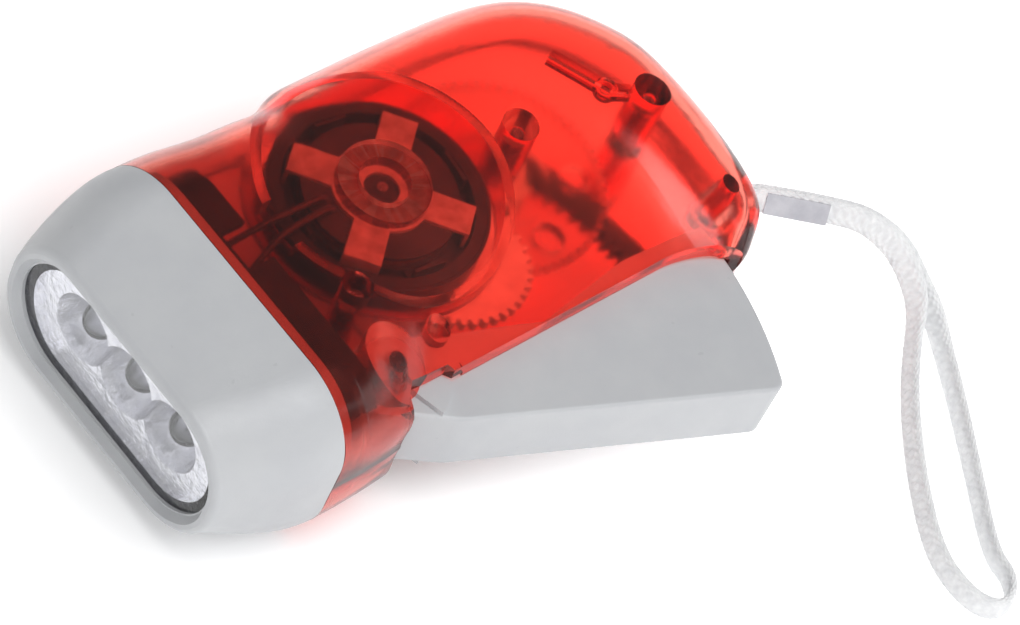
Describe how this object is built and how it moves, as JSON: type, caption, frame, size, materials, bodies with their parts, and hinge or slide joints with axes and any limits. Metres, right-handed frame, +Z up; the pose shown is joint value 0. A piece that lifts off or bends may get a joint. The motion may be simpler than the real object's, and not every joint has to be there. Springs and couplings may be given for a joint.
{
  "type": "squeeze dynamo flashlight",
  "caption": "palm-sized squeeze-lever dynamo flashlight: clear red clamshell body over its gear train and generator, grey flared head with a stadium window, grey lever, wrist strap",
  "frame": {"origin": "bottom centre of the torch without its strap: midway along its length and height, on the plane it lies on", "axes": "+X from the lens window to the tail, +Y from the lever side to the palm side, +Z up from the far shell that rests on the table to the near shell"},
  "size_m": [0.1167, 0.1061, 0.0288],
  "materials": {
    "red_clear": "clear tinted, polished",
    "grey_plastic": "fine satin",
    "clear_plastic": "clear, polished",
    "plated_plastic": "mirror plated",
    "lamp_epoxy": "clear epoxy",
    "board": "solder mask",
    "wire_dark": "soft insulation",
    "steel": "turned",
    "spring_steel": "drawn wire",
    "white_nylon": "moulded nylon",
    "magnet": "sintered, dark",
    "pole_steel": "pressed, zinc plated",
    "black_nylon": "moulded nylon",
    "copper": "enamelled wire",
    "braid": "tight flat braid",
    "crimp_metal": "pressed, satin"
  },
  "bodies": {
    "case": {"left_shell": "red_clear", "right_shell": "red_clear", "head_cap": "grey_plastic", "lens": "clear_plastic", "reflector": "plated_plastic", "leds": "lamp_epoxy", "led_board": "board", "lamp_holder": "black_nylon", "lead_wires": "wire_dark", "pivot_pin": "steel", "lever_spring": "spring_steel", "gear_pin": "steel", "idler_pin": "steel", "rotor_axle": "steel", "stator_plate_near": "pole_steel", "stator_plate_far": "pole_steel", "coil_bobbin": "black_nylon", "coil_winding": "copper", "case_screws": "steel", "strap": "braid", "strap_crimp": "crimp_metal"},
    "lever_body": {"lever": "grey_plastic"},
    "pinion_body": {"input_pinion": "white_nylon"},
    "drive_body": {"drive_gear": "white_nylon", "clutch_pawl": "white_nylon"},
    "idler_body": {"idler_gear": "white_nylon"},
    "rotor_body": {"rotor_wheel": "black_nylon", "ring_magnet": "magnet"}
  },
  "joints": [
    {"name": "rotor_spin", "type": "hinge", "parent": "case", "child": "rotor_body", "pos_m": [-0.00402, 0.01318, 0.0144], "axis": [0, 0, 1], "range_deg": [0, 5901.4]},
    {"name": "lever_squeeze", "type": "hinge", "parent": "case", "child": "lever_body", "pos_m": [-0.01862, -0.00759, 0.0144], "axis": [0, 0, 1], "range_deg": [0, 22.5], "stiffness_Nm_per_rad": 0.01, "springref_deg": -22.92, "deforming": ["lever_spring"]},
    {"name": "pinion_turn", "type": "hinge", "parent": "case", "child": "pinion_body", "pos_m": [0.01837, 0.01167, 0.0144], "axis": [0, 0, 1], "range_deg": [0, 245.9]},
    {"name": "drive_turn", "type": "hinge", "parent": "case", "child": "drive_body", "pos_m": [0.01837, 0.01167, 0.0144], "axis": [0, 0, 1], "range_deg": [0, 245.9]},
    {"name": "idler_turn", "type": "hinge", "parent": "case", "child": "idler_body", "pos_m": [0.00319, 0.00297, 0.0144], "axis": [0, 0, 1], "range_deg": [-1475.3, 0]}
  ],
  "couplings": [
    {"joint": "lever_squeeze", "follows": "rotor_spin", "ratio": 0.0038126},
    {"joint": "pinion_turn", "follows": "rotor_spin", "ratio": 0.041667},
    {"joint": "drive_turn", "follows": "rotor_spin", "ratio": 0.041667},
    {"joint": "idler_turn", "follows": "rotor_spin", "ratio": -0.25}
  ]
}
